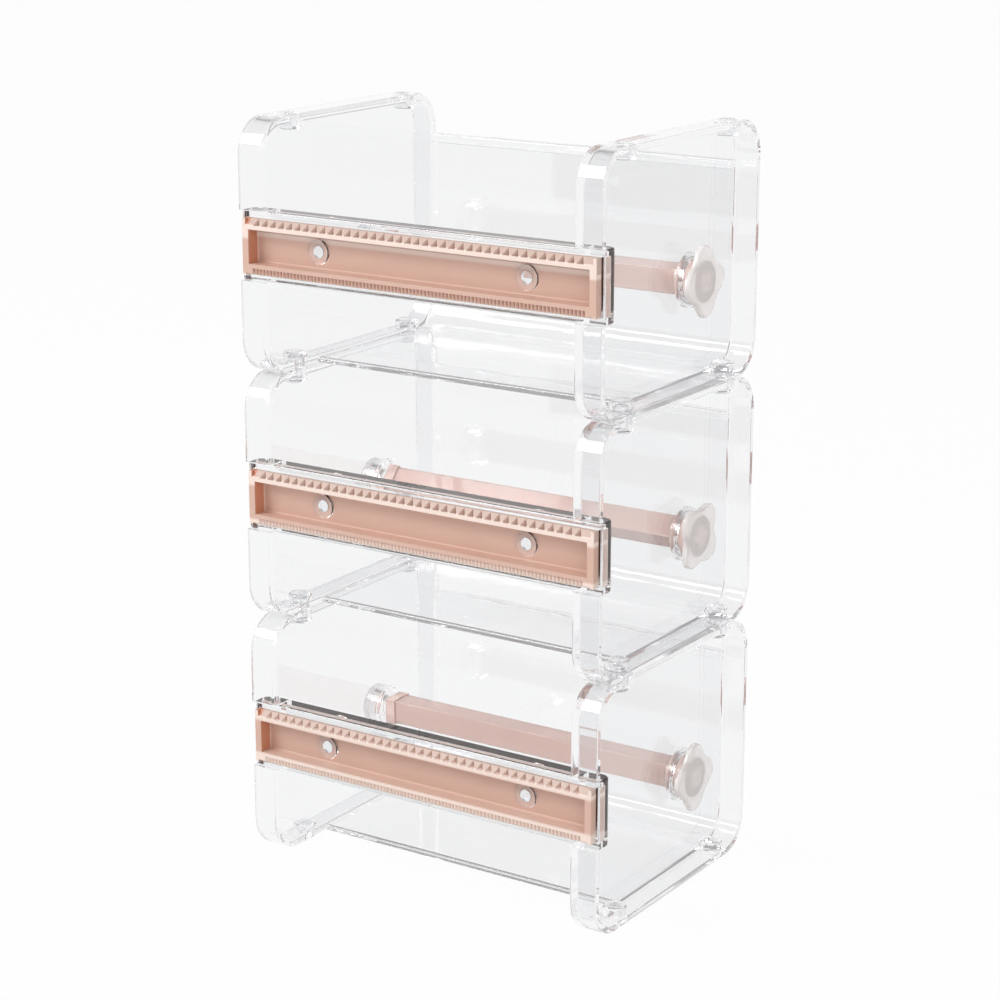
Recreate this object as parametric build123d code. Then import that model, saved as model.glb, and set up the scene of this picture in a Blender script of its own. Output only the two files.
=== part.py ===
"""Washi tape drawer box: three clear stackable tape dispensers, one on top of the other.

Each tier is a clear moulded housing with a pink double-edged cutter strip on its front bar
and a pink square roller that spins in the side walls and pulls out to the right for loading
tape. Millimetres, +Z up, front towards -Y, origin at the middle of the base.
"""

import os
from math import cos, pi, radians, sin

from build123d import *

# ---- driving dimensions of one tier ----
TIER_NAMES = ("lower", "middle", "upper")
PITCH = 84.0                 # the height that one tier adds
SEAT_HEIGHT = 0.1            # the stacked rims stay this far apart, on small seats
TIER_HEIGHT = PITCH - SEAT_HEIGHT
WIDTH = 137.0                # over the outer planes of both side walls
DEPTH = 98.0
TRAY_DEPTH = 10.0            # each side panel is set in this far from the outer plane
PANEL = 2.0                  # thickness of a side panel
RIM = 2.2                    # thickness of the rims, floor and back wall
CORNER = 12.0                # outer corner radius of the side walls, seen from the side
DRAFT = 1.0                  # degrees, on the inside of the rims
PANEL_EDGE_ROUND = 1.0
TRAY_FLOOR_ROUND = 0.8
MOUTH_ROUND = 0.4

FRONT = -DEPTH / 2
BACK = DEPTH / 2
INNER_X = WIDTH / 2 - TRAY_DEPTH          # inner face of a side panel
TRAY_FLOOR_X = INNER_X + PANEL            # outer face of a side panel

FLOOR_FRONT_Y = -21.5        # the floor stops here and leaves the lower front open
FLOOR_NOSE_ROUND = 0.9
BACK_TOP_Z = PITCH - 14.7    # the back wall is lower than the side walls
BEAD_HEIGHT = 3.2            # thickened top edge of the back wall
BEAD_DEPTH = 3.6
BEAD_ROUND = 0.8
SHEET_OVERLAP = 1.0          # floor and back wall run into the panels: one solid

# ---- front bar and cutter strip ----
STRIP_LENGTH = 133.6
STRIP_BOTTOM_Z = 33.8
STRIP_HEIGHT = 18.2
STRIP_FRONT_Y = FRONT - 0.6
STRIP_DEPTH = 6.6
STRIP_FLOOR = 1.6
STRIP_RAIL = 3.5             # height of the top and bottom rails
STRIP_END = 2.4              # thickness of the end walls
RECESS_ROUND = 0.6
BAR_FRONT_Y = FRONT + 2.0
BAR_BACK_Y = FRONT + 9.0
BAR_LIP = 2.4                # clear lip over and under the strip
BAR_END_ROUND = 3.0
BAR_RIM_ROUND = 0.6
SEAT_GAP = 0.1               # all round the strip in its seat
TOOTH_LAND = 0.1             # flat tip of a tooth, as a share of the pitch at each side
COARSE_TEETH, COARSE_PITCH, COARSE_CUT, COARSE_HEIGHT = 38, 3.3, 1.8, 2.1
COARSE_SLOPE = (1.8, 2.1)    # depth and height of the slope behind the coarse points
FINE_TEETH, FINE_PITCH, FINE_CUT, FINE_HEIGHT = 92, 1.37, 1.2, 2.1
FINE_SLOPE = (0.6, 0.6)
STUD_X = 39.5                # two studs on the bar go through the strip and are staked over
STUD_RADIUS = 2.0
STUD_HOLE_RADIUS = 2.1
STUD_ROOT = 0.5              # how far the stud starts inside the bar's web
STUD_HEAD_RADIUS = 4.1
STUD_HEAD = 1.1
STUD_HEAD_ROUND = 0.7

# ---- roller ----
AXIS_Y = 17.0
AXIS_Z = 34.6
BAR_SIDE = 8.4               # square outside of the tube
BAR_WALL = 1.0
BAR_CORNER = 0.5
PLUG_SIDE = BAR_SIDE - 2 * BAR_WALL - 0.04
PLUG_CORNER = 0.3
BAR_LEFT_X = -53.4
BAR_RIGHT_X = 57.6
COLLAR_SIDE = 9.3
COLLAR_CORNER = 0.6
COLLAR_LEFT_X = -57.0
LEFT_PLUG = 9.0
RIGHT_PLUG = 7.0
STUB_RADIUS = 4.0
STUB_LENGTH = 6.0
STUB_CHAMFER = 0.6
SOCKET_DEPTH = 6.8
SOCKET_FLOOR = 1.2
SOCKET_RADIUS = 7.4          # outside of the blind socket on the left panel
SOCKET_ROUND = 0.8
LEFT_RING_RADIUS = 8.0       # low ring round the socket's mouth
LEFT_RING_HEIGHT = 1.2
LEFT_RING_ROUND = 0.5
CARRIER_ROOT = 0.5           # sockets and rings start this far inside the panel
WALL_HOLE_RADIUS = 7.0       # right panel: the roller's collar passes through it
RUNNING_GAP = 0.05           # radial, for every turning or sliding fit
SHOULDER_RADIUS = 6.6        # keeps the bush on the stem
SHOULDER_RIGHT_X = 58.3
BUSH_LEFT_X = INNER_X
BUSH_RIGHT_X = 62.0
BUSH_FLANGE_RADIUS = 9.0
BUSH_CHAMFER = 0.5
BUSH_SEAT_GAP = 0.05
JOURNAL_RADIUS = 6.0
HUB_RADIUS = 6.7
HUB_CHAMFER = 0.4
HUB_LEFT_X = 62.2
KNOB_BACK_X = 65.4
KNOB_FRONT_X = 67.8
SPIGOT_SIDE = 6.0
SPIGOT_LENGTH = 1.6
SPIGOT_ROOT = 0.5
SPIGOT_GAP = 0.05
LOBES = 4
LOBE_RADIUS = 5.1
LOBE_CENTRE = 6.8
KNOB_WAIST_RADIUS = 9.0
KNOB_WAIST_ROUND = 2.5
KNOB_FRONT_ROUND = 1.0
KNOB_BACK_CHAMFER = 0.3
# each roller rests at its own angle; the knob's lobes stand over the square's faces
ROLLER_ANGLES = {"lower": 0.0, "middle": 48.0, "upper": 5.0}

# ---- stacking sockets and pins ----
SOCKET_X = WIDTH / 2 - TRAY_DEPTH / 2
SOCKET_YS = (-29.0, 35.0)
PIN_SOCKET_RADIUS = 2.6
PIN_SOCKET_DEPTH = 4.2
PIN_BOSS_FLOOR = 0.9
PIN_BOSS_RADIUS = 4.0
PIN_BOSS_ROUND = 1.0
SEAT_RADIUS = 3.5
SEAT_ROOT = 0.5
PIN_RADIUS = PIN_SOCKET_RADIUS - RUNNING_GAP
PIN_LENGTH = 8.0
PIN_CHAMFER = 0.5

STRIP_TOP_Z = STRIP_BOTTOM_Z + STRIP_HEIGHT
STRIP_BACK_Y = STRIP_FRONT_Y + STRIP_DEPTH
STRIP_MID_Z = STRIP_BOTTOM_Z + STRIP_HEIGHT / 2
BAR_BOTTOM_Z = STRIP_BOTTOM_Z - BAR_LIP
BAR_TOP_Z = STRIP_TOP_Z + BAR_LIP
SIDES = (-1, 1)
CLEAR = 1.0                  # how far a cutting tool runs past what it cuts


def block(x0, x1, y0, y1, z0, z1):
    """A box between two corners."""
    box = Box(x1 - x0, y1 - y0, z1 - z0)
    return Pos((x0 + x1) / 2, (y0 + y1) / 2, (z0 + z1) / 2) * box


def rod(x0, x1, radius):
    """A cylinder on the roller's axis, between two stations."""
    return Pos((x0 + x1) / 2, AXIS_Y, AXIS_Z) * Rot(0, 90, 0) * Cylinder(radius, abs(x1 - x0))


def square_rod(x0, x1, side, corner, angle):
    """A square bar with rounded corners on the roller's axis, turned by angle."""
    plane = Plane((x0, AXIS_Y, AXIS_Z), x_dir=(0, cos(radians(angle)), sin(radians(angle))),
                  z_dir=(1, 0, 0))
    return extrude(plane * RectangleRounded(side, side, corner), x1 - x0)


def turned(profile):
    """Turns a profile of (x, radius) points round the roller's axis."""
    outline = Polyline(*[(x, r) for x, r in profile], close=True)
    return Pos(0, AXIS_Y, AXIS_Z) * revolve(make_face(outline), Axis.X)


def side_profile(inset, radius, x):
    """The side wall's rounded outline, drawn in by inset, on a plane across X."""
    plane = Plane((x, 0, TIER_HEIGHT / 2), x_dir=(0, 1, 0), z_dir=(1, 0, 0))
    return plane * RectangleRounded(DEPTH - 2 * inset, TIER_HEIGHT - 2 * inset, radius)


def right_side_wall():
    """One side wall: a thin panel with a rim all round that opens outwards like a tray."""
    wall = extrude(side_profile(0, CORNER, INNER_X), TRAY_DEPTH)
    wall = fillet(wall.edges().group_by(Axis.X)[0], PANEL_EDGE_ROUND)
    mouth_x = WIDTH / 2
    mouth = side_profile(RIM, CORNER - RIM, mouth_x)
    pocket = extrude(mouth, mouth_x - TRAY_FLOOR_X, dir=(-1, 0, 0), taper=DRAFT)
    pocket = fillet(pocket.edges().group_by(Axis.X)[0], TRAY_FLOOR_ROUND)
    wall -= pocket
    return fillet(wall.edges().group_by(Axis.X)[-1], MOUTH_ROUND)


def stacking_boss(x, y, z, sign):
    """The closed wall round one pin socket; it grows from a rim into the tray."""
    height = PIN_SOCKET_DEPTH + PIN_BOSS_FLOOR
    boss = Cylinder(PIN_BOSS_RADIUS, height)
    boss = fillet(boss.edges().group_by(Axis.Z)[-1], PIN_BOSS_ROUND)
    turn = Rot(0, 0, 0) if sign > 0 else Rot(180, 0, 0)
    return Pos(x, y, z + sign * height / 2) * turn * boss


def pin_socket(x, y, z, sign):
    """The blind hole of one pin socket."""
    height = PIN_SOCKET_DEPTH + CLEAR
    return Pos(x, y, z + sign * (height / 2 - CLEAR)) * Cylinder(PIN_SOCKET_RADIUS, height)


def rim_seat(x, y):
    """The small round seat on the top rim that the next tier stands on."""
    height = SEAT_HEIGHT + SEAT_ROOT
    return Pos(x, y, PITCH - height / 2) * Cylinder(SEAT_RADIUS, height)


def back_and_floor():
    """The back wall and floor as one bent sheet with the side wall's corner radius."""
    half = INNER_X + SHEET_OVERLAP
    outer = extrude(side_profile(0, CORNER, -half), 2 * half)
    hollow = extrude(side_profile(RIM, CORNER - RIM, -half - CLEAR), 2 * (half + CLEAR))
    floor_zone = block(-half, half, FLOOR_FRONT_Y, BACK, 0, PITCH / 4)
    back_zone = block(-half, half, BACK - CORNER - CLEAR, BACK, 0, BACK_TOP_Z)
    sheet = (outer - hollow) & (floor_zone + back_zone)
    nose = sheet.edges().filter_by(Axis.X).filter_by_position(
        Axis.Y, FLOOR_FRONT_Y - SEAT_GAP, FLOOR_FRONT_Y + SEAT_GAP)
    sheet = fillet(nose, FLOOR_NOSE_ROUND)
    bead = block(-half, half, BACK - BEAD_DEPTH, BACK, BACK_TOP_Z - BEAD_HEIGHT, BACK_TOP_Z)
    bead = fillet(bead.edges().filter_by(Axis.X), BEAD_ROUND)
    return sheet + bead


def front_bar():
    """The bar across the front that carries the cutter strip."""
    half = WIDTH / 2
    bar = block(-half, half, BAR_FRONT_Y, BAR_BACK_Y, BAR_BOTTOM_Z, BAR_TOP_Z)
    bar = fillet(bar.edges().filter_by(Axis.Z).group_by(Axis.Y)[-1], BAR_END_ROUND)
    rear_rim = bar.edges().group_by(Axis.Z)[0] + bar.edges().group_by(Axis.Z)[-1]
    return fillet(rear_rim, BAR_RIM_ROUND)


def strip_seat():
    """The room cut for the strip, through the front rims of both side walls."""
    half_strip = STRIP_LENGTH / 2 + SEAT_GAP
    seat = block(-half_strip, half_strip, FRONT - CLEAR, STRIP_BACK_Y,
                 STRIP_BOTTOM_Z - SEAT_GAP, STRIP_TOP_Z + SEAT_GAP)
    clear_front = block(-WIDTH, WIDTH, FRONT - CLEAR, BAR_FRONT_Y, BAR_BOTTOM_Z, BAR_TOP_Z)
    return seat + clear_front


def strip_studs():
    """Studs on the bar's web that hold the strip with heads staked over its floor."""
    studs = []
    floor_y = STRIP_BACK_Y - STRIP_FLOOR
    head_back_y = floor_y - SEAT_GAP
    for side in SIDES:
        facing = Pos(side * STUD_X, 0, STRIP_MID_Z) * Rot(90, 0, 0)
        root_y = STRIP_BACK_Y + STUD_ROOT
        shank = facing * Pos(0, 0, -(root_y + head_back_y) / 2) * Cylinder(
            STUD_RADIUS, root_y - head_back_y)
        head = Cylinder(STUD_HEAD_RADIUS, STUD_HEAD)
        head = fillet(head.edges().group_by(Axis.Z)[-1], STUD_HEAD_ROUND)
        head = facing * Pos(0, 0, STUD_HEAD / 2 - head_back_y) * head
        studs.append(shank + head)
    return studs


def roller_seats():
    """What carries the roller: a blind socket at the left, a plain hole at the right."""
    socket = rod(-TRAY_FLOOR_X + CARRIER_ROOT, -INNER_X - SOCKET_DEPTH - SOCKET_FLOOR,
                 SOCKET_RADIUS)
    socket = fillet(socket.edges().group_by(Axis.X)[0], SOCKET_ROUND)
    ring = rod(-INNER_X - CARRIER_ROOT, -INNER_X + LEFT_RING_HEIGHT, LEFT_RING_RADIUS)
    ring = fillet(ring.edges().group_by(Axis.X)[-1], LEFT_RING_ROUND)
    left_hole = rod(-INNER_X + LEFT_RING_HEIGHT + CLEAR, -INNER_X - SOCKET_DEPTH,
                    STUB_RADIUS + RUNNING_GAP)
    right_hole = rod(INNER_X - CLEAR, TRAY_FLOOR_X + CLEAR, WALL_HOLE_RADIUS)
    return [socket, ring], [left_hole, right_hole]


def housing():
    """The clear moulding of one tier."""
    right = right_side_wall()
    left = mirror(right, Plane.YZ)
    body = right + left + back_and_floor() + front_bar()
    carriers, bores = roller_seats()
    for side in SIDES:
        x = side * SOCKET_X
        for y in SOCKET_YS:
            carriers.append(stacking_boss(x, y, 0, 1))
            carriers.append(stacking_boss(x, y, TIER_HEIGHT, -1))
            carriers.append(rim_seat(x, y))
            bores.append(pin_socket(x, y, 0, 1))
            bores.append(pin_socket(x, y, PITCH, -1))
    for carrier in carriers:
        body += carrier
    body -= strip_seat()
    for stud in strip_studs():
        body += stud
    for bore in bores:
        body -= bore
    return body


def tooth_gaps(count, pitch, cut, top_z, bottom_z):
    """V-shaped gaps between teeth along one rail, cut back from the strip's front face."""
    gaps = Sketch()
    first = -(count - 1) * pitch / 2
    half_gap = pitch * (0.5 - TOOTH_LAND)
    for i in range(count):
        x = first + i * pitch
        gaps += make_face(Polyline((x - half_gap, 0), (x + half_gap, 0), (x, cut), close=True))
    plane = Plane((0, STRIP_FRONT_Y, bottom_z), x_dir=(1, 0, 0), z_dir=(0, 0, 1))
    return extrude(plane * gaps, top_z - bottom_z)


def rail_slope(z_edge, sign, depth, height):
    """A wedge that slopes a rail's outer front edge back, so the teeth come to points."""
    half = STRIP_LENGTH / 2 - STRIP_END / 2
    outline = Polyline((STRIP_FRONT_Y - CLEAR, z_edge - sign * height),
                       (STRIP_FRONT_Y - CLEAR, z_edge + sign * CLEAR),
                       (STRIP_FRONT_Y + depth, z_edge + sign * CLEAR),
                       (STRIP_FRONT_Y + depth, z_edge),
                       (STRIP_FRONT_Y, z_edge - sign * height), close=True)
    plane = Plane((-half, 0, 0), x_dir=(0, 1, 0), z_dir=(1, 0, 0))
    return extrude(plane * make_face(outline), 2 * half)


def cutter_strip():
    """The pink strip: a shallow tray with coarse teeth along the top and fine ones below."""
    half = STRIP_LENGTH / 2
    strip = block(-half, half, STRIP_FRONT_Y, STRIP_BACK_Y, STRIP_BOTTOM_Z, STRIP_TOP_Z)
    recess = block(-half + STRIP_END, half - STRIP_END, STRIP_FRONT_Y - CLEAR,
                   STRIP_BACK_Y - STRIP_FLOOR, STRIP_BOTTOM_Z + STRIP_RAIL,
                   STRIP_TOP_Z - STRIP_RAIL)
    strip -= fillet(recess.edges().group_by(Axis.Y)[-1], RECESS_ROUND)
    strip -= rail_slope(STRIP_TOP_Z, 1, *COARSE_SLOPE)
    strip -= rail_slope(STRIP_BOTTOM_Z, -1, *FINE_SLOPE)
    strip -= tooth_gaps(COARSE_TEETH, COARSE_PITCH, COARSE_CUT,
                        STRIP_TOP_Z + CLEAR, STRIP_TOP_Z - COARSE_HEIGHT)
    strip -= tooth_gaps(FINE_TEETH, FINE_PITCH, FINE_CUT,
                        STRIP_BOTTOM_Z + FINE_HEIGHT, STRIP_BOTTOM_Z - CLEAR)
    for side in SIDES:
        strip -= Pos(side * STUD_X, STRIP_BACK_Y, STRIP_MID_Z) * Rot(90, 0, 0) * Cylinder(
            STUD_HOLE_RADIUS, 4 * STRIP_FLOOR)
    return strip


def roller_tube(angle):
    """The translucent square tube that the tape rolls hang on."""
    tube = square_rod(BAR_LEFT_X, BAR_RIGHT_X, BAR_SIDE, BAR_CORNER, angle)
    bore_side = BAR_SIDE - 2 * BAR_WALL
    return tube - square_rod(BAR_LEFT_X - CLEAR, BAR_RIGHT_X + CLEAR, bore_side, PLUG_CORNER,
                             angle)


def roller_end_cap(angle):
    """Plugs the tube's left end; its collar stops the rolls and its stub turns in the wall."""
    collar = square_rod(COLLAR_LEFT_X, BAR_LEFT_X, COLLAR_SIDE, COLLAR_CORNER, angle)
    plug = square_rod(BAR_LEFT_X - CARRIER_ROOT, BAR_LEFT_X + LEFT_PLUG, PLUG_SIDE, PLUG_CORNER,
                      angle)
    tip = COLLAR_LEFT_X - STUB_LENGTH
    stub = turned([(tip, 0), (tip, STUB_RADIUS - STUB_CHAMFER),
                   (tip + STUB_CHAMFER, STUB_RADIUS),
                   (COLLAR_LEFT_X + CARRIER_ROOT, STUB_RADIUS),
                   (COLLAR_LEFT_X + CARRIER_ROOT, 0)])
    return collar + plug + stub


def knob_stem(angle):
    """The roller's right end: a plug in the tube, a journal in the bush and a hub."""
    stem = turned([(BAR_RIGHT_X, 0), (BAR_RIGHT_X, SHOULDER_RADIUS),
                   (SHOULDER_RIGHT_X, SHOULDER_RADIUS), (SHOULDER_RIGHT_X, JOURNAL_RADIUS),
                   (HUB_LEFT_X, JOURNAL_RADIUS), (HUB_LEFT_X, HUB_RADIUS - HUB_CHAMFER),
                   (HUB_LEFT_X + HUB_CHAMFER, HUB_RADIUS), (KNOB_BACK_X, HUB_RADIUS),
                   (KNOB_BACK_X, 0)])
    plug = square_rod(BAR_RIGHT_X - RIGHT_PLUG, BAR_RIGHT_X + CARRIER_ROOT, PLUG_SIDE,
                      PLUG_CORNER, angle)
    spigot = square_rod(KNOB_BACK_X - SPIGOT_ROOT, KNOB_BACK_X + SPIGOT_LENGTH, SPIGOT_SIDE,
                        PLUG_CORNER, angle)
    return stem + plug + spigot


def wall_bush():
    """The clear flanged bush that carries the stem in the right wall and pulls out with it."""
    barrel = WALL_HOLE_RADIUS - RUNNING_GAP
    flange_x = TRAY_FLOOR_X + BUSH_SEAT_GAP
    bore = JOURNAL_RADIUS + RUNNING_GAP
    return turned([(BUSH_LEFT_X, bore), (BUSH_LEFT_X, barrel), (flange_x, barrel),
                   (flange_x, BUSH_FLANGE_RADIUS),
                   (BUSH_RIGHT_X - BUSH_CHAMFER, BUSH_FLANGE_RADIUS),
                   (BUSH_RIGHT_X, BUSH_FLANGE_RADIUS - BUSH_CHAMFER), (BUSH_RIGHT_X, bore)])


def knob(angle):
    """The pale four-lobed thumb knob, in the recess of the side wall."""
    outline = Sketch() + Circle(KNOB_WAIST_RADIUS)
    for i in range(LOBES):
        a = 2 * pi * i / LOBES
        outline += Pos(LOBE_CENTRE * cos(a), LOBE_CENTRE * sin(a)) * Circle(LOBE_RADIUS)
    outline = fillet(outline.vertices(), KNOB_WAIST_ROUND)
    plane = Plane((KNOB_BACK_X, AXIS_Y, AXIS_Z),
                  x_dir=(0, cos(radians(angle)), sin(radians(angle))), z_dir=(1, 0, 0))
    plate = extrude(plane * outline, KNOB_FRONT_X - KNOB_BACK_X)
    plate = fillet(plate.edges().group_by(Axis.X)[-1], KNOB_FRONT_ROUND)
    plate = chamfer(plate.edges().group_by(Axis.X)[0], KNOB_BACK_CHAMFER)
    return plate - square_rod(KNOB_BACK_X - CLEAR, KNOB_BACK_X + SPIGOT_LENGTH + SPIGOT_GAP,
                              SPIGOT_SIDE + 2 * SPIGOT_GAP, PLUG_CORNER, angle)


def stacking_pins():
    """Four clear pins, half in this tier's top sockets and half in the next tier's base."""
    pins = []
    for side in SIDES:
        for y in SOCKET_YS:
            pin = Cylinder(PIN_RADIUS, PIN_LENGTH)
            pin = chamfer(pin.edges().filter_by(GeomType.CIRCLE), PIN_CHAMFER)
            pins.append(Pos(side * SOCKET_X, y, PITCH) * pin)
    return Compound(children=pins)


def export(name, shape):
    export_step(shape, f"parts/{name}.step")


def main():
    os.makedirs("parts", exist_ok=True)
    moulding, strip, bush, pins = housing(), cutter_strip(), wall_bush(), stacking_pins()
    for tier, name in enumerate(TIER_NAMES):
        lift = Pos(0, 0, tier * PITCH)
        angle = ROLLER_ANGLES[name]
        export(f"{name}_housing", lift * moulding)
        export(f"{name}_cutter_strip", lift * strip)
        export(f"{name}_wall_bush", lift * bush)
        export(f"{name}_roller_tube", lift * roller_tube(angle))
        export(f"{name}_roller_end_cap", lift * roller_end_cap(angle))
        export(f"{name}_knob_stem", lift * knob_stem(angle))
        export(f"{name}_knob", lift * knob(angle))
        if name != TIER_NAMES[-1]:
            export(f"{name}_stacking_pins", lift * pins)


main()
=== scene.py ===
# %% [markdown]
# # A stack of clear tape dispensers
#
# Three clear moulded boxes stand on each other. Each has a dusty pink cutter strip across its
# front and a translucent pink roller that tape rolls hang on. The solid parts come ready made
# from the CAD model, in metres, with the front towards -Y. This lesson gives them their finish,
# makes the knobs and their clear bushes again as fine surfaces, and lights the stack like a
# small product on white paper.

# %% Load the solid parts
from math import cos, radians, sin

import bmesh
import bpy
import numpy as np
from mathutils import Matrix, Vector


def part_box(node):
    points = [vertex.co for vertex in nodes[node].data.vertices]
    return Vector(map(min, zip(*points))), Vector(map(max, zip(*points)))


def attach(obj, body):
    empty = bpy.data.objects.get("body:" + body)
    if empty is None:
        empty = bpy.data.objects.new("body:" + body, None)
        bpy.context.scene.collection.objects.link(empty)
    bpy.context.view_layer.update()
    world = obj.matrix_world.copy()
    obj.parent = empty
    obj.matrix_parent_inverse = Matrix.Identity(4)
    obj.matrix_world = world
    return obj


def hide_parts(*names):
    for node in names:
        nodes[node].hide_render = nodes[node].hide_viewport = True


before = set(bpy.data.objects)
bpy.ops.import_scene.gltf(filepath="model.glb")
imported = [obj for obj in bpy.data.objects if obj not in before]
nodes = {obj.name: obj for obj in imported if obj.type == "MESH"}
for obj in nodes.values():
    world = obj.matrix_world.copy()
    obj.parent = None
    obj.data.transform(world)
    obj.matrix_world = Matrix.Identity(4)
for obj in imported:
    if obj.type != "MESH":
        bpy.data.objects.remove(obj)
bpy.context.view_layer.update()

TIERS = ("lower", "middle", "upper")
MM = 0.001
print("solid parts:", len(nodes))

# %% [markdown]
# ## Sizes that the solids already know
#
# A piece made here has to sit exactly where its solid is. The corners of each solid's box give
# the roller's axis, the stations along it and the height of a tier. Only the sizes inside a
# piece, which no box shows, are written down below.

# %% Read the solids' boxes
def corners(node):
    """The lowest and highest corner of a solid, as two arrays."""
    low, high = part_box(node)
    return np.array(low), np.array(high)


def roller_axis(tier):
    """The (y, z) of a roller's axis, which is the middle of its round bush."""
    low, high = corners(f"{tier}_wall_bush")
    return (low + high)[1:] / 2


TIER_HEIGHT = corners("middle_roller_tube")[0][2] - corners("lower_roller_tube")[0][2]
print("one tier adds", round(float(TIER_HEIGHT) / MM, 2), "mm")

# %% [markdown]
# ## Camera
#
# The photograph looks at the stack from the front right and a little above. A long lens from
# nearly a metre away keeps the three tiers almost the same size. The camera is placed by two
# angles about the point that it looks at, so that each can be tuned alone.

# %% Camera at the photograph's angle
AIM = Vector((0.0, 0.0, 0.1245))
CAMERA_AZIMUTH = radians(33.4)
CAMERA_ELEVATION = radians(15.6)
CAMERA_RANGE = 0.87
LENS = 94.0
NEAREST_SEEN = 0.01

camera = bpy.data.objects.new("camera", bpy.data.cameras.new("camera"))
bpy.context.scene.collection.objects.link(camera)
back = Vector((sin(CAMERA_AZIMUTH) * cos(CAMERA_ELEVATION),
               -cos(CAMERA_AZIMUTH) * cos(CAMERA_ELEVATION), sin(CAMERA_ELEVATION)))
camera.location = AIM + back * CAMERA_RANGE
camera.rotation_euler = back.to_track_quat("Z", "Y").to_euler()
camera.data.lens = LENS
camera.data.clip_start = NEAREST_SEEN
bpy.context.scene.camera = camera
print("camera at", [round(value, 3) for value in camera.location], "lens", LENS, "mm")

# %% [markdown]
# ## Writing shaders as sums
#
# A finish is a small calculation: noise times a strength, plus a base value. `Wire` wraps one
# output of a node so that Python's own operators add the Math nodes, and `Recipe.node` makes
# every other kind of node.

# %% Wires and recipes
class Wire:
    """One output of a node. Sums with numbers and other wires add Math nodes."""

    def __init__(self, recipe, socket):
        self.recipe, self.socket = recipe, socket

    def _math(self, operation, first, second):
        return self.recipe.node("Math", {"operation": operation}, {0: first, 1: second})

    def __add__(self, other):
        return self._math("ADD", self, other)

    def __sub__(self, other):
        return self._math("SUBTRACT", self, other)

    def __rsub__(self, other):
        return self._math("SUBTRACT", other, self)

    def __mul__(self, other):
        return self._math("MULTIPLY", self, other)

    __radd__ = __add__
    __rmul__ = __mul__


class Recipe:
    """A material or world being written, one node at a time."""

    def __init__(self, owner):
        owner.use_nodes = True
        self.owner, self.tree = owner, owner.node_tree
        self.tree.nodes.clear()

    def node(self, kind, settings=None, values=None, out=0):
        """Adds a node: its settings first, then the values or wires of its sockets."""
        made = self.tree.nodes.new("ShaderNode" + kind)
        for name, value in (settings or {}).items():
            if name == "stops":
                self._stops(made.color_ramp, value)
            else:
                setattr(made, name, value)
        for name, value in (values or {}).items():
            if isinstance(value, Wire):
                self.tree.links.new(value.socket, made.inputs[name])
            else:
                made.inputs[name].default_value = value
        return Wire(self, made.outputs[out])

    def _stops(self, ramp, stops):
        while len(ramp.elements) < len(stops):
            ramp.elements.new(0.5)
        for element, (place, grey) in zip(ramp.elements, stops):
            element.position = place
            element.color = (grey, grey, grey, 1)

    def finish(self, wire, kind="Material"):
        """Joins the last shader to the output."""
        output = self.tree.nodes.new("ShaderNodeOutput" + kind)
        self.tree.links.new(wire.socket, output.inputs["Surface"])
        return self.owner


def new_recipe(name):
    """A recipe for a new, empty material."""
    return Recipe(bpy.data.materials.new(name))


def compare(r, operation, first, second):
    """Compares two values: the larger of them, or 1 where a comparison holds and 0 elsewhere."""
    return r.node("Math", {"operation": operation}, {0: first, 1: second})


# %% [markdown]
# ## The room
#
# Clear plastic shows only what is around it. On plain white paper it is almost invisible, and
# its edges are drawn by the darker parts of the room that they bend into view. So the camera
# sees plain white, bent and mirrored light sees white with a darker ceiling, and everything else
# is lit by an even, dimmer white. The ceiling's darkness starts and is full at two heights, which
# are the upward part of a direction: 0 is level and 1 is straight up.

# %% The world: white around, darker overhead
WHITE = (1, 1, 1, 1)
LIGHT_PATH = "LightPath"
CEILING_LIGHT = 0.42
CEILING_STARTS = 0.3
CEILING_FULL = 0.6
ROOM_LIGHT = 0.62

world = bpy.data.worlds.new("studio")
bpy.context.scene.world = world
room = Recipe(world)
direction = room.node("TexCoord", out="Generated")
height = room.node("SeparateXYZ", None, {0: direction}, out="Z")
seen = room.node("ValToRGB", {"stops": [
    (0.0, 1.0), (CEILING_STARTS, 1.0), (CEILING_FULL, CEILING_LIGHT), (1.0, CEILING_LIGHT)]}, {0: height})
bent = compare(room, "MAXIMUM", room.node(LIGHT_PATH, out="Is Glossy Ray"),
               room.node(LIGHT_PATH, out="Is Transmission Ray"))
lit = room.node("Background", None, {"Color": WHITE, "Strength": ROOM_LIGHT})
mirrored = room.node("Background", None, {"Color": seen})
plain = room.node("Background", None, {"Color": WHITE, "Strength": 1.0})
around = room.node("MixShader", None, {0: bent, 1: lit, 2: mirrored})
sky = room.node("MixShader", None, {0: room.node(LIGHT_PATH, out="Is Camera Ray"), 1: around, 2: plain})
room.finish(sky, "World")
print("world", world.name, "nodes", len(world.node_tree.nodes))

# %% [markdown]
# ## Lamps and paper
#
# Two large square lamps stand at the front: a strong one at the left and a weak one at the right,
# which opens the shadows in the strips. The paper is a wide disc. It glows for every look but that
# of scattered light, so it looks white and doesn't light the stack as a lamp would.

# %% Lamps
KEY_PLACE, KEY_WIDTH, KEY_POWER = (-0.9, -1.1, 1.3), 0.9, 17.0
FILL_PLACE, FILL_WIDTH, FILL_POWER = (1.4, -0.9, 0.7), 0.8, 6.0


def lamp(name, place, width, power):
    """A square soft lamp that faces the middle of the stack, in metres and watts."""
    data = bpy.data.lights.new(name, "AREA")
    data.size, data.energy = width, power
    made = bpy.data.objects.new(name, data)
    made.location = place
    made.rotation_euler = (Vector(place) - AIM).to_track_quat("Z", "Y").to_euler()
    bpy.context.scene.collection.objects.link(made)
    print(name, power, "W, width", width, "m")


lamp("key_lamp", KEY_PLACE, KEY_WIDTH, KEY_POWER)
lamp("fill_lamp", FILL_PLACE, FILL_WIDTH, FILL_POWER)

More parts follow.
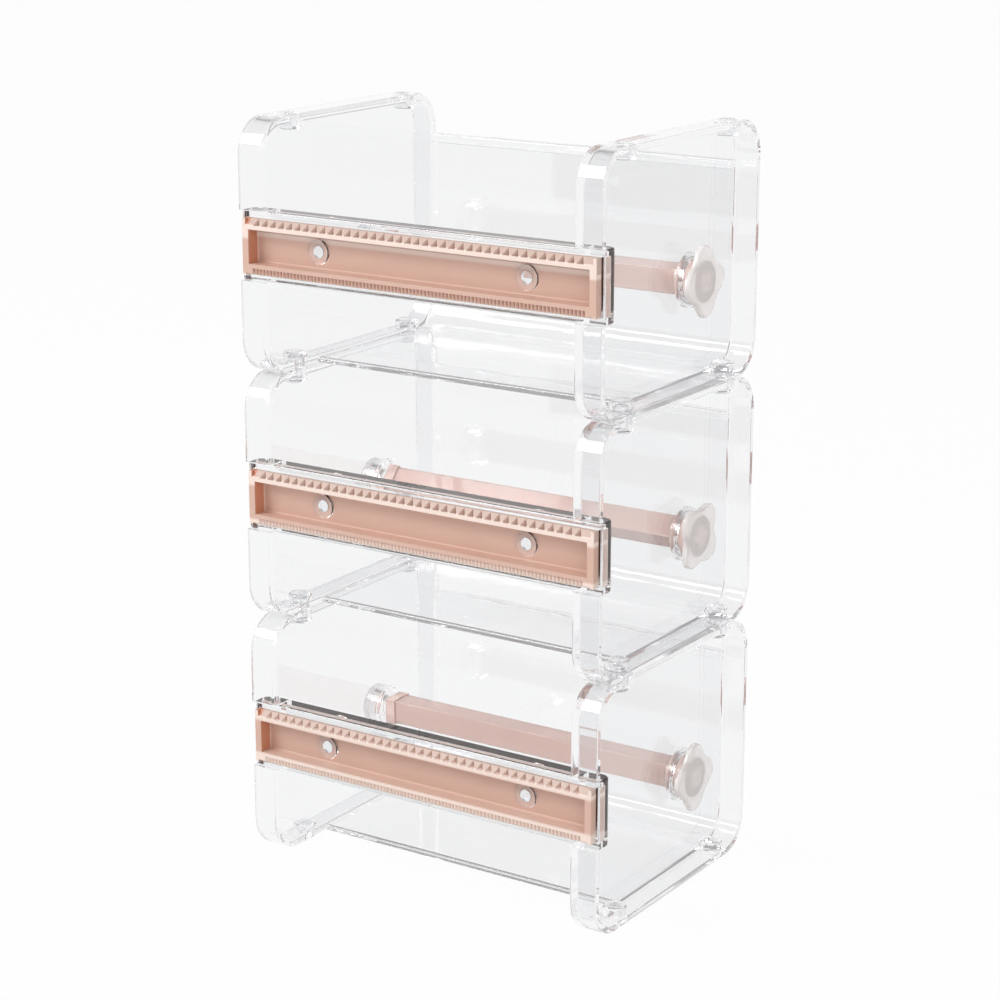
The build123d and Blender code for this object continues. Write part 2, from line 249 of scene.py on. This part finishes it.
# %% Paper
PAPER_RADIUS = 6.0
PAPER_SIDES = 96
PAPER_BELOW = 0.1 * MM
PAPER_GLOW = 0.95
PAPER_GREY = 0.86

turn = np.linspace(0, 2 * np.pi, PAPER_SIDES + 1)[:-1]
rim = np.stack([PAPER_RADIUS * np.cos(turn), PAPER_RADIUS * np.sin(turn), 0 * turn], 1)
paper_mesh = bpy.data.meshes.new("paper")
paper_mesh.from_pydata(rim.tolist(), [], [list(range(PAPER_SIDES))])
paper = bpy.data.objects.new("paper", paper_mesh)
paper.location.z = -PAPER_BELOW
bpy.context.scene.collection.objects.link(paper)

sheet = new_recipe("paper")
matt = sheet.node("BsdfDiffuse", None, {"Color": (PAPER_GREY, PAPER_GREY, PAPER_GREY, 1)})
glow = sheet.node("Emission", None, {"Color": WHITE, "Strength": 1.0})
scattered = sheet.node(LIGHT_PATH, out="Is Diffuse Ray")
paper_mesh.materials.append(sheet.finish(
    sheet.node("MixShader", None, {0: (1 - scattered) * PAPER_GLOW, 1: matt, 2: glow})))
print("paper", 2 * PAPER_RADIUS, "m across")

# %% [markdown]
# ## Clear moulded plastic
#
# The housings look like polystyrene: colourless, very smooth, and a little wavy where the hot
# plastic flowed. Real glass shading bends the light at every wall, so rims and corners draw
# themselves. Lamps would throw hard-to-render caustics through it, so light on its way from a lamp
# passes a plain see-through shader, a touch darker for each wall. Light that has been thrown about
# inside a rim ten times passes the same way, because it would otherwise be lost there.

# %% Clear plastic
CLEAR_INDEX = 1.52
CLEAR_TINT = (0.925, 0.928, 0.934, 1)
WALL_SHADE = (0.965, 0.965, 0.97, 1)
TRAPPED_AFTER = 9.5
WAVE_LENGTH = 22 * MM
WAVE_DEPTH = 1.0 * MM
WAVINESS = 0.12
SCUFFS_PER_METRE = 900
SCUFF_STARTS, SCUFF_FULL = 0.58, 0.75
POLISH, SCUFFED = 0.012, 0.03


def noise(r, cells_per_metre, detail):
    """Soft noise on object coordinates, with so many cells to the metre."""
    here = r.node("TexCoord", out="Object")
    scaled = r.node("Mapping", {"vector_type": "POINT"}, {"Vector": here, "Scale": (cells_per_metre,) * 3})
    return r.node("TexNoise", None, {"Vector": scaled, "Scale": 1.0, "Detail": detail})


def clear_plastic():
    """Clear plastic with slow waves and a few scuffs."""
    r = new_recipe("clear_moulding")
    waves = noise(r, 1 / WAVE_LENGTH, detail=1.0)
    worn = r.node("ValToRGB", {"stops": [(0.0, 0.0), (SCUFF_STARTS, 0.0), (SCUFF_FULL, 1.0)]},
                  {0: noise(r, SCUFFS_PER_METRE, detail=2.0)})
    bumped = r.node("Bump", None, {"Height": waves, "Strength": WAVINESS, "Distance": WAVE_DEPTH})
    body = r.node("BsdfPrincipled", None, {
        "Base Color": CLEAR_TINT, "Roughness": POLISH + worn * SCUFFED, "IOR": CLEAR_INDEX,
        "Transmission Weight": 1.0, "Normal": bumped})
    open_way = r.node("BsdfTransparent", None, {"Color": WALL_SHADE})
    trapped = compare(r, "GREATER_THAN", r.node(LIGHT_PATH, out="Ray Depth"), TRAPPED_AFTER)
    straight_on = compare(r, "MAXIMUM", r.node(LIGHT_PATH, out="Is Shadow Ray"), trapped)
    return r.finish(r.node("MixShader", None, {0: straight_on, 1: body, 2: open_way}))


clear = clear_plastic()
print("clear plastic, nodes", len(clear.node_tree.nodes))

# %% [markdown]
# ## Pink plastics
#
# The cutter strip is solid-coloured and satin: its colour has a little cloudiness, and its skin a
# fine grain. Painted light makes its thin rails paler, and painted shade darkens the coarse cuts
# and the left end wall, where little light reaches. Each strip could have its own material. Here
# the height over the base is counted again from each tier, so one material tints all three.

# %% Satin pink for the strips
strip_low, strip_high = corners("lower_cutter_strip")
STRIP_LEFT, STRIP_FRONT = float(strip_low[0]), float(strip_low[1])
STRIP_MIDDLE = float(strip_low[2] + strip_high[2]) / 2
STRIP_HALF = float(strip_high[2] - strip_low[2]) / 2
RAIL = 3.5 * MM
RAIL_LIGHT_FADE = (1.15, 0.75)
END_WALL = 2.4 * MM
COARSE_CUT = 1.9 * MM
SKIN = 0.05 * MM
FRONT_FACE = 0.2 * MM
CUT_SHADE = 0.6

# The two floor pinks are the plastic's own colour. The rail pink is painted light, and the cut and end
# pinks are painted shade.
FLOOR_DEEP, FLOOR_PALE = (0.605, 0.395, 0.315, 1), (0.66, 0.435, 0.355, 1)
LIT_RAIL_PINK = (0.84, 0.685, 0.61, 1)
SHADED_CUT_PINK = (0.42, 0.25, 0.19, 1)
SHADED_END_PINK = (0.56, 0.235, 0.14, 1)

CLOUDS_PER_METRE = 60
GRAINS_PER_METRE = 3500
GRAIN_BUMP, GRAIN_DEPTH = 0.12, 0.05 * MM
SATIN, SATIN_GRAIN = 0.34, 0.12
EDGE_ROUND, EDGE_SAMPLES = 0.22 * MM, 4
PLASTIC_INDEX = 1.5

# A Mix node has sockets for numbers, vectors and colours. These are its colour sockets.
MIX_FIRST, MIX_SECOND, MIX_RESULT = 6, 7, 2


def tint(r, factor, first, second):
    """The first colour where the factor is 0, the second where it is 1."""
    return r.node("Mix", {"data_type": "RGBA"},
                  {"Factor": factor, MIX_FIRST: first, MIX_SECOND: second}, out=MIX_RESULT)


def satin_pink():
    """Dusty pink, with painted light on the thin rails and painted shade in the coarse cuts and the left
    end wall.
    """
    r = new_recipe("satin_pink")
    spot = r.node("TexCoord", out="Object")
    x, y, z = (r.node("SeparateXYZ", None, {0: spot}, out=axis) for axis in "XYZ")
    level = r.node("Math", {"operation": "MODULO"}, {0: z, 1: TIER_HEIGHT})
    off_middle = r.node("Math", {"operation": "ABSOLUTE"}, {0: level - STRIP_MIDDLE})
    # Painted light: this mask makes the rails paler near the strip's top and bottom edges.
    painted_rail_light = r.node("MapRange", {"interpolation_type": "SMOOTHSTEP"}, {
        "Value": off_middle, "From Min": STRIP_HALF - RAIL_LIGHT_FADE[0] * RAIL,
        "From Max": STRIP_HALF - RAIL_LIGHT_FADE[1] * RAIL})
    # Painted shade: this mask finds the inner face of the left end wall.
    left_end = compare(r, "LESS_THAN", x, STRIP_LEFT + END_WALL + SKIN)
    behind_front = compare(r, "GREATER_THAN", y, STRIP_FRONT + FRONT_FACE)
    # Painted shade: this mask finds the coarse cuts along the top rail.
    cut = compare(r, "GREATER_THAN", level, STRIP_MIDDLE + STRIP_HALF - COARSE_CUT)
    shade = tint(r, noise(r, CLOUDS_PER_METRE, detail=3.0), FLOOR_DEEP, FLOOR_PALE)
    # Painted light on the rails.
    shade = tint(r, painted_rail_light, shade, LIT_RAIL_PINK)
    # Painted shade darkens the coarse cuts behind the front face.
    shade = tint(r, cut * behind_front * CUT_SHADE, shade, SHADED_CUT_PINK)
    # Painted shade, deep orange as if from light bounced in that corner, on the left end wall.
    shade = tint(r, left_end * behind_front, shade, SHADED_END_PINK)
    grain = noise(r, GRAINS_PER_METRE, detail=2.0)
    rounded_edge = r.node("Bevel", {"samples": EDGE_SAMPLES}, {"Radius": EDGE_ROUND})
    bumped = r.node("Bump", None, {
        "Height": grain, "Strength": GRAIN_BUMP, "Distance": GRAIN_DEPTH, "Normal": rounded_edge})
    return r.finish(r.node("BsdfPrincipled", None, {
        "Base Color": shade, "Roughness": SATIN + grain * SATIN_GRAIN, "IOR": PLASTIC_INDEX,
        "Normal": bumped}))


pink = satin_pink()
print("strip", round(2 * STRIP_HALF / MM, 2), "mm tall, nodes", len(pink.node_tree.nodes))

# %% [markdown]
# The roller is the same pink let down into clear plastic, and the knob is paler still. Part of the
# light goes through them and part is scattered back, which looks milky. Subsurface scattering
# could do that too. A share of plain transmission stands in for it here, as the simpler way.

# %% Translucent pinks for rollers and knobs
ROLLER_PALE, ROLLER_DEEP = (0.90, 0.735, 0.685, 1), (0.86, 0.67, 0.615, 1)
ROLLER_CLARITY, ROLLER_ROUGHNESS = 0.5, 0.06
KNOB_PALE, KNOB_DEEP = (0.975, 0.95, 0.94, 1), (0.955, 0.92, 0.905, 1)
KNOB_CLARITY, KNOB_ROUGHNESS = 0.45, 0.14
FLOWS_PER_METRE = 90
FLOW_BUMP, FLOW_DEPTH = 0.05, 0.5 * MM
FLOW_ROUGHNESS = 0.04


def tinted_plastic(name, pale, deep, clarity, smooth):
    """Translucent coloured plastic: part of it clear, part of it milky."""
    r = new_recipe(name)
    flow = noise(r, FLOWS_PER_METRE, detail=2.0)
    bumped = r.node("Bump", None, {"Height": flow, "Strength": FLOW_BUMP, "Distance": FLOW_DEPTH})
    body = r.node("BsdfPrincipled", None, {
        "Base Color": tint(r, flow, pale, deep), "Roughness": smooth + flow * FLOW_ROUGHNESS,
        "IOR": PLASTIC_INDEX, "Transmission Weight": clarity, "Normal": bumped})
    open_way = r.node("BsdfTransparent", None, {"Color": pale})
    return r.finish(r.node("MixShader", None, {
        0: r.node(LIGHT_PATH, out="Is Shadow Ray") * clarity, 1: body, 2: open_way}))


roller_pink = tinted_plastic("roller_pink", ROLLER_PALE, ROLLER_DEEP, ROLLER_CLARITY, ROLLER_ROUGHNESS)
knob_pink = tinted_plastic("knob_pink", KNOB_PALE, KNOB_DEEP, KNOB_CLARITY, KNOB_ROUGHNESS)

# %% Dress the solid parts
FINISH = {"housing": clear, "wall_bush": clear, "stacking_pins": clear, "cutter_strip": pink,
          "roller_tube": roller_pink, "roller_end_cap": roller_pink, "knob_stem": roller_pink,
          "knob": knob_pink}

for name, solid in nodes.items():
    finish = FINISH[name.split("_", 1)[1]]
    for slot in solid.material_slots:
        slot.material = finish
    print(name, "faces", len(solid.data.polygons), "finish", finish.name)

# %% [markdown]
# ## Knobs and bushes
#
# A knob is a thin pale plate with four soft lobes that two fingers turn, and a clear flanged bush
# carries it in the wall. The solids have the right size, but their round edges are cut into a
# few flats, and clear plastic shows every flat as a streak. A subdivision surface would round
# them, and shrink them too. So both are worked out again as formulas: a profile, from the back to
# the front, that is carried once round the roller's axis.

# %% A profile carried round an axis
ROUND_STEPS = 160
SAME_POINT = 0.001 * MM
ANGLES = np.linspace(0, 2 * np.pi, ROUND_STEPS, endpoint=False)


def carried_round(name, radius, along, axis, body, finish):
    """A closed mesh round a line along X.

    Row i, column j of the grid lies at x = along(i) and at radius(i, j) from the axis, in the
    direction of angle j. The last column joins the first, and rows that meet are merged.
    """
    grid = np.stack([along[:, None] + 0 * ANGLES, axis[0] + radius * np.cos(ANGLES),
                     axis[1] + radius * np.sin(ANGLES)], -1)
    index = np.arange(radius.size).reshape(radius.shape)
    beside = np.roll(index, -1, axis=1)
    faces = np.stack([index[:-1], beside[:-1], beside[1:], index[1:]], -1).reshape(-1, 4)
    mesh = bpy.data.meshes.new(name)
    mesh.from_pydata(grid.reshape(-1, 3).tolist(), [], faces.tolist())
    seam = bmesh.new()
    seam.from_mesh(mesh)
    bmesh.ops.remove_doubles(seam, verts=seam.verts, dist=SAME_POINT)
    bmesh.ops.recalc_face_normals(seam, faces=seam.faces)
    seam.to_mesh(mesh)
    seam.free()
    mesh.polygons.foreach_set("use_smooth", [True] * len(mesh.polygons))
    mesh.materials.append(finish)
    piece = bpy.data.objects.new(name, mesh)
    bpy.context.scene.collection.objects.link(piece)
    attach(piece, body)
    print(name, "faces", len(mesh.polygons))
    return piece


# %% Knobs
LOBES = 4
LOBE_TIP = 11.9 * MM
LOBE_SWELL = 1.45 * MM
FRONT_ROUND = 1.0 * MM
BACK_ROUND = 0.35 * MM
DOME = 0.3 * MM
FACE_STEPS, EDGE_STEPS = 16, 9

# Each tier's roller stands at its own angle, in degrees, and its knob with it.
KNOB_TURNS = {"lower": 0.0, "middle": 48.0, "upper": 5.0}


def knob_surface(tier):
    """A lobed plate: its radius is tip - swell + swell * cos(4 * angle), less an inset.

    The inset follows a quarter circle at each round edge. The front bulges by DOME * (1 - f * f),
    where f runs from 0 in the middle to 1 at the edge.
    """
    low, high = corners(f"{tier}_knob")
    thick = high[0] - low[0]
    quarter = np.linspace(0, np.pi / 2, EDGE_STEPS)
    share = np.linspace(0, 1, FACE_STEPS)
    part = np.hstack([share, 1 + 0 * quarter, 1 + 0 * quarter, share[::-1]])
    inset = np.hstack([BACK_ROUND + 0 * share, BACK_ROUND * (1 - np.sin(quarter)),
                       FRONT_ROUND * (1 - np.cos(quarter)), FRONT_ROUND + 0 * share])
    depth = np.hstack([0 * share, BACK_ROUND * (1 - np.cos(quarter)),
                       thick - DOME - FRONT_ROUND * (1 - np.sin(quarter)),
                       thick - DOME * share[::-1] ** 2])
    lobe = np.cos(LOBES * (ANGLES - radians(KNOB_TURNS[tier])))
    radius = part[:, None] * (LOBE_TIP - LOBE_SWELL + LOBE_SWELL * lobe - inset[:, None])
    piece = carried_round(f"{tier}_knob_plate", radius, low[0] + depth, roller_axis(tier),
                          f"{tier}_roller", knob_pink)
    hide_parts(f"{tier}_knob")


for tier in TIERS:
    knob_surface(tier)

# %% Bushes
BARREL_RADIUS = 6.95 * MM
BORE_RADIUS = 6.05 * MM
FLANGE = 1.45 * MM
GROOVE = 0.5 * MM
LIP = 0.7 * MM
BUSH_CORNER = 0.18 * MM
CORNER_STEPS = 6


def rounded(points, size):
    """A closed outline with each corner cut by a parabola that starts `size` before it.

    With a and b the points `size` before and after the corner c, and s from 0 to 1, the corner
    becomes (1-s)(1-s) a + 2s(1-s) c + s s b.
    """
    corner = np.array(points)
    before = np.roll(corner, 1, axis=0) - corner
    after = np.roll(corner, -1, axis=0) - corner
    a = corner + size * before / np.linalg.norm(before, axis=1, keepdims=True)
    b = corner + size * after / np.linalg.norm(after, axis=1, keepdims=True)
    s = np.linspace(0, 1, CORNER_STEPS)[None, :, None]
    bent = (1 - s) ** 2 * a[:, None] + 2 * s * (1 - s) * corner[:, None] + s ** 2 * b[:, None]
    outline = bent.reshape(-1, 2)
    return np.vstack([outline, outline[:1]])


def bush_surface(tier):
    """A turned ring: a barrel in the wall, a flange on it, and a shallow groove in its face."""
    low, high = corners(f"{tier}_wall_bush")
    rim_radius = (high[1] - low[1]) / 2
    left, right = low[0], high[0]
    outline = rounded([(left, BORE_RADIUS), (left, BARREL_RADIUS), (right - FLANGE, BARREL_RADIUS),
                       (right - FLANGE, rim_radius), (right, rim_radius), (right, rim_radius - LIP),
                       (right - GROOVE, rim_radius - 2 * LIP), (right - GROOVE, BORE_RADIUS + 2 * LIP),
                       (right, BORE_RADIUS + LIP), (right, BORE_RADIUS)], BUSH_CORNER)
    radius = np.repeat(outline[:, 1:], ROUND_STEPS, axis=1)
    piece = carried_round(f"{tier}_clear_bush", radius, outline[:, 0], roller_axis(tier),
                          f"{tier}_bush", clear)
    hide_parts(f"{tier}_wall_bush")


for tier in TIERS:
    bush_surface(tier)

# %% [markdown]
# ## Look
#
# Light that is trapped in a clear rim is thrown back and forth inside it many times. Each turn
# counts as a glossy bounce, and the usual limit of four leaves dark rims. So the limits that clear
# plastic meets, those of all, glossy, transmitted and see-through bounces, get one generous number.

# %% Bounces
RIM_BOUNCES = 48

scene = bpy.context.scene
scene.view_settings.view_transform = "Standard"
scene.cycles.max_bounces = RIM_BOUNCES
scene.cycles.glossy_bounces = RIM_BOUNCES
scene.cycles.transmission_bounces = RIM_BOUNCES
scene.cycles.transparent_max_bounces = RIM_BOUNCES
print("bounces", RIM_BOUNCES)
